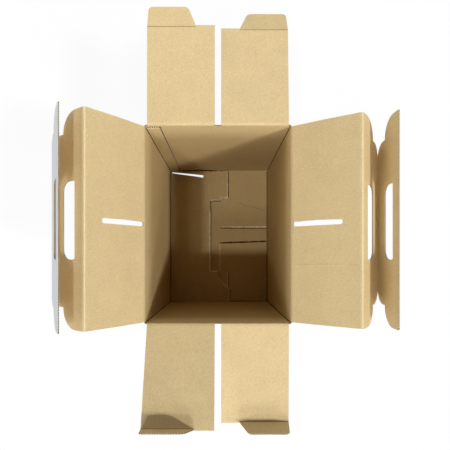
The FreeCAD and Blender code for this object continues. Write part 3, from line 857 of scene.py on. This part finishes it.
# Painted shade: dark strips where the walls meet each other and the bottom.
creaseShade = []
for x, y, low in ((-103.5, 138.4, 5), (103.5, 140, 2), (-103.5, -140, 5), (103.5, -140, 2)):
    diagonal = np.array((-np.sign(x), -np.sign(y), 0)) / math.sqrt(2)
    corner = {"origin": np.array((x, y, 0.0)) + diagonal * 0.6, "along": np.cross(up, diagonal),
              "away": up, "brown": diagonal}
    creaseShade.append(bead(corner, [(0, 316), (0, low)], paintedShadeLine, 2.2, 0.1, -thick))
for start, end in (((-103.5, -139, 5), (-103.5, 137, 5)), ((103.5, 139, 2.0), (103.5, -139, 2.0)),
                   ((103, -140, 3.4), (-103, -140, 5))):
    start, end = np.array(start, float), np.array(end, float)
    away = (end - start) / np.linalg.norm(end - start)
    inward = np.cross(up, away)
    diagonal = (up - inward) / math.sqrt(2)
    edge = {"origin": start + diagonal * 0.7, "along": np.cross(away, diagonal), "away": away,
            "brown": diagonal}
    creaseShade.append(bead(edge, [(0, 0), (0, np.linalg.norm(end - start))], paintedShadeLine, 2.2, 0.1,
                        -thick))
rigidPiece("carton_crease_shade", creaseShade, "carton")


print("long flaps and handles")
longFlap = {"length": 101.5, "halfWidth": 139.25, "slotStart": 3.25, "slotEnd": 75.75,
            "slotHalfWidth": 3.25, "slotRadius": 2.5, "camber": 1.0,
            "slotArch": 0.9}
handle = {"height": 67.5, "shoulder": 43.5, "gripEnd": 111.75, "shoulderRadius": 27,
          "gripRadius": 19, "backEnd": 1.0, "holeWidth": 25, "holeHalf": 50, "baseRadius": 3,
          "topRadius": 13, "topReach": 2.6, "foldGap": 0.1}
longAngles = {"west": (54, -38, 117), "east": (37, -56, 88)}


def handleLoops(front):
    # Distances run from the base fold on the front panel, and from the top fold on the back one.
    def v(distance):
        return distance if front else handle["height"] - distance
    wide = v(0.0) if front else v(handle["backEnd"])
    half, grip = longFlap["halfWidth"], handle["gripEnd"]
    corners = [(-half, wide), (half, wide), (half, v(handle["shoulder"]), handle["shoulderRadius"]),
               (grip, v(handle["shoulder"])), (grip, v(handle["height"]), handle["gripRadius"]),
               (-grip, v(handle["height"]), handle["gripRadius"]), (-grip, v(handle["shoulder"])),
               (-half, v(handle["shoulder"]), handle["shoulderRadius"])]
    outline = roundOutline(corners, steps=12)
    if front:
        outline = clipOutline(outline, carton["foldReach"], False)
        outline = clipOutline(outline, handle["height"] - handle["topReach"], True)
    else:
        outline = clipOutline(outline, handle["topReach"], False)
    base, top = v(handle["shoulder"] - handle["holeWidth"]), v(handle["shoulder"])
    hole = roundOutline([(-handle["holeHalf"], base, handle["baseRadius"]),
                         (handle["holeHalf"], base, handle["baseRadius"]),
                         (handle["holeHalf"], top, handle["topRadius"]),
                         (-handle["holeHalf"], top, handle["topRadius"])])
    return outline, [hole]


def gripWidth(run):
    # Half the width of the handle at this distance from its top fold.
    radius = handle["gripRadius"]
    curve = math.sqrt(max(radius ** 2 - (radius - abs(run)) ** 2, 0.0))
    half = handle["gripEnd"] - radius + curve
    return -half, half


def camber(u, v):
    # The long flap's slight bow between its two folds.
    free = longFlap["length"] - 2 * carton["foldReach"]
    return longFlap["camber"] * np.sin(np.pi * np.clip((v - carton["foldReach"]) / free, 0, 1)) ** 2


for side in ("west", "east"):
    out = compass[side]
    flapAngle, frontAngle, backAngle = longAngles[side]
    half, reach = longFlap["halfWidth"], carton["foldReach"]
    panel = panelFrame(foldPoint[f"{side}_flap_fold"], out, flapAngle)
    slotHalf, radius = longFlap["slotHalfWidth"], longFlap["slotRadius"]
    middle = (longFlap["slotStart"] + longFlap["slotEnd"]) / 2
    toNorth = float(np.sign(panel["along"] @ north))
    arch = toNorth * longFlap["slotArch"]
    slot = roundOutline([(toNorth * u, v, *rounding) for u, v, *rounding in (
        (-slotHalf, longFlap["slotStart"], radius), (slotHalf, longFlap["slotStart"], radius),
        (slotHalf + longFlap["slotArch"], middle), (slotHalf, longFlap["slotEnd"], radius),
        (-slotHalf, longFlap["slotEnd"], radius))])
    lip = [(toNorth * (slotHalf + 0.5) + arch * math.sin(math.pi * share),
            longFlap["slotStart"] + 3 + share * (longFlap["slotEnd"] - longFlap["slotStart"] - 6))
           for share in np.linspace(0, 1, 9)]
    marks = [bead(panel, lip, grooveShadeFace, 1.2, 0.05, bow=camber)]
    if side == "east":
        marks.append(bead(panel, [(-58 * toNorth, 3), (-57 * toNorth, 50), (-58 * toNorth, 98)],
                          brownFace, 1.6, 0.35, bow=camber))
    outline = roundOutline([(-half, reach), (half, reach), (half, longFlap["length"] - reach),
                            (-half, longFlap["length"] - reach)])
    rigidPiece(f"{side}_long_flap_board",
               boardParts(panel, outline, [slot], bow=camber) + marks,
               f"{side}_long_flap", f"{side}_long_flap")
    foldPiece(f"{side}_flap_crease", f"{side}_flap_fold", out, (90, flapAngle),
              ("carton", f"{side}_long_flap"), reach=reach, pinch=1.1, pivotSide="white",
              ends=lambda run: (-longFlap["halfWidth"], longFlap["halfWidth"]))

    panel = panelFrame(foldPoint[f"{side}_handle_base_fold"], out, frontAngle)
    rigidPiece(f"{side}_handle_front_board", boardParts(panel, *handleLoops(True)),
               f"{side}_handle_front", f"{side}_handle_front")
    foldPiece(f"{side}_handle_base_crease", f"{side}_handle_base_fold", out,
              (flapAngle, frontAngle), (f"{side}_long_flap", f"{side}_handle_front"),
              reach=reach, pinch=1.2, pivotSide="white", face=ridgeFace,
              ends=lambda run: (-longFlap["halfWidth"], longFlap["halfWidth"]))

    panel = panelFrame(foldPoint[f"{side}_handle_top_fold"], out, backAngle)
    rigidPiece(f"{side}_handle_back_board",
               boardParts(panel, *handleLoops(False), plane=-thick - handle["foldGap"]),
               f"{side}_handle_back", f"{side}_handle_back")
    foldPiece(f"{side}_handle_top_crease", f"{side}_handle_top_fold", out,
              (frontAngle, backAngle), (f"{side}_handle_front", f"{side}_handle_back"),
              reach=handle["topReach"], pinch=1.2, pivotSide="brown", ends=gripWidth,
              lift=-handle["foldGap"])


print("half flaps and tuck tabs")
halfFlap = {"length": 141.1, "halfWidth": 48.05, "tabFold": 139.1, "tabWidth": 70.0,
            "tabLength": 28.0, "slant": 12.0, "innerRadius": 9.0, "outerRadius": 6.0,
            "tabReach": 1.9, "outerSlant": 2.2}
halfAngles = {"north_west": (-0.5, 0.0), "north_east": (-4, -16), "south_west": (21, 101),
              "south_east": (-1.4, 76)}

for corner, (flapAngle, tabAngle) in halfAngles.items():
    out = compass[corner.split("_")[0]]
    eastward = compass[corner.split("_")[1]]
    panel = panelFrame(foldPoint[f"{corner}_flap_fold"], out, flapAngle)
    outer = float(np.sign(panel["along"] @ eastward))  # the side of the tab's long edge
    half, reach, tabReach = halfFlap["halfWidth"], carton["foldReach"], halfFlap["tabReach"]
    inner = half - halfFlap["tabWidth"]
    tabStart = halfFlap["tabFold"] - tabReach
    outline = roundOutline([(outer * u, v) for u, v in (
        (-half, reach), (half, reach), (half, tabStart), (inner, tabStart),
        (inner, halfFlap["length"]), (-half, halfFlap["length"]))])
    rigidPiece(f"{corner}_half_flap_board", boardParts(panel, outline),
               f"{corner}_half_flap", f"{corner}_half_flap")
    foldPiece(f"{corner}_flap_crease", f"{corner}_flap_fold", out, (90, flapAngle),
              ("carton", f"{corner}_half_flap"), stepped=True, reach=reach, pinch=1.1,
              pivotSide="white", turn=0.5,
              ends=lambda run: (-halfFlap["halfWidth"], halfFlap["halfWidth"]))

    def slantAt(run):
        return halfFlap["halfWidth"] - halfFlap["tabWidth"] + halfFlap["slant"] * max(
            run, 0) / halfFlap["tabLength"]

    def outerAt(run):
        return halfFlap["halfWidth"] - halfFlap["outerSlant"] * max(run, 0) / halfFlap["tabLength"]

    def tabEnds(run):
        pair = (outer * slantAt(run), outer * outerAt(run))
        return min(pair), max(pair)

    panel = panelFrame(foldPoint[f"{corner}_tab_fold"], out, tabAngle)
    outline = roundOutline([(outer * u, v, *radius) for u, v, *radius in (
        (slantAt(tabReach), tabReach), (outerAt(tabReach), tabReach),
        (outerAt(halfFlap["tabLength"]), halfFlap["tabLength"], halfFlap["outerRadius"]),
        (slantAt(halfFlap["tabLength"]), halfFlap["tabLength"], halfFlap["innerRadius"]))])
    rigidPiece(f"{corner}_tuck_tab_board", boardParts(panel, outline, plane=-thick),
               f"{corner}_tuck_tab", f"{corner}_tuck_tab")
    # The tab crease is darker along its middle: painted shade.
    foldPiece(f"{corner}_tab_crease", f"{corner}_tab_fold", out, (flapAngle, tabAngle),
              (f"{corner}_half_flap", f"{corner}_tuck_tab"), reach=tabReach, pinch=1.1,
              pivotSide="brown", ends=tabEnds, face=grooveShadeFace)


print("floor and light")
stage = {"size": 3.0, "colour": 0.9, "cameraWhite": 0.9}
floorMesh = bpy.data.meshes.new("floor")
edge = stage["size"]
floorMesh.from_pydata([(-edge, -edge, 0), (edge, -edge, 0), (edge, edge, 0), (-edge, edge, 0)], [],
                      [(0, 1, 2, 3)])
floor = bpy.data.objects.new("floor", floorMesh)
floor.location.z = -0.0005
scene.collection.objects.link(floor)
floorMaterial = bpy.data.materials.new("floorWhite")
floorMaterial.use_nodes = True
tree = floorMaterial.node_tree
tree.nodes.clear()
diffuse = addNode(tree, "ShaderNodeBsdfDiffuse")
diffuse.inputs["Color"].default_value = (stage["colour"],) * 3 + (1.0,)
glow = addNode(tree, "ShaderNodeEmission")
rays = addNode(tree, "ShaderNodeLightPath")
seen = calculate(tree, "ADD", (rays, "Is Camera Ray"), (rays, "Is Glossy Ray"))
share = calculate(tree, "MULTIPLY", (seen, 0), stage["cameraWhite"])
share.use_clamp = True
mixed = addNode(tree, "ShaderNodeMixShader")
link(tree, share, 0, mixed, 0)
link(tree, diffuse, 0, mixed, 1)
link(tree, glow, 0, mixed, 2)
output = addNode(tree, "ShaderNodeOutputMaterial")
link(tree, mixed, 0, output, "Surface")
floorMesh.materials.append(floorMaterial)

# Soft lamps above the box and a low ring of wide ones round it. The vectors point to the lamp.
lamps = {
    "top": {"from": (-0.23, -0.34, 1.0), "strength": 0.55, "angle": 3.5},
    "topWest": {"from": (-0.14, -0.34, 1.0), "strength": 0.18, "angle": 4.0},
    "topSouth": {"from": (-0.26, -0.62, 1.0), "strength": 0.35, "angle": 6.0},
    "side": {"from": (0.7, -0.38, 1.0), "strength": 1.65, "angle": 7.0},
    "front": {"from": (0.6, -1.2, 1.0), "strength": 0.58, "angle": 10.0},
}
ring = {"count": 6, "height": 0.42, "strength": 0.38, "angle": 40.0, "west": 0.5, "south": 0.35}
for number in range(ring["count"]):
    turn = 2 * math.pi * (number + 0.5) / ring["count"]
    share = (1 - ring["west"] * math.cos(turn)) * (1 - ring["south"] * math.sin(turn))
    lamps[f"ring{number}"] = {"from": (math.cos(turn), math.sin(turn), ring["height"]),
                              "strength": ring["strength"] * share, "angle": ring["angle"]}
for name, lamp in lamps.items():
    data = bpy.data.lights.new(name, "SUN")
    data.energy = lamp["strength"]
    data.angle = math.radians(lamp["angle"])
    item = bpy.data.objects.new(name, data)
    direction = np.array(lamp["from"]) / np.linalg.norm(lamp["from"])
    item.rotation_euler = (math.acos(direction[2]), 0.0,
                           math.atan2(direction[1], direction[0]) + math.pi / 2)
    scene.collection.objects.link(item)

world = bpy.data.worlds.new("room")
scene.world = world
world.use_nodes = True
tree = world.node_tree
tree.nodes.clear()
ambient = {"strength": 0.03, "seen": 1.0}
background = addNode(tree, "ShaderNodeBackground")
rays = addNode(tree, "ShaderNodeLightPath")
level = addNode(tree, "ShaderNodeMapRange")
link(tree, rays, "Is Camera Ray", level, "Value")
level.inputs["To Min"].default_value = ambient["strength"]
level.inputs["To Max"].default_value = ambient["seen"]
link(tree, level, "Result", background, "Strength")
output = addNode(tree, "ShaderNodeOutputWorld")
link(tree, background, 0, output, "Surface")

scene.view_settings.view_transform = "Standard"
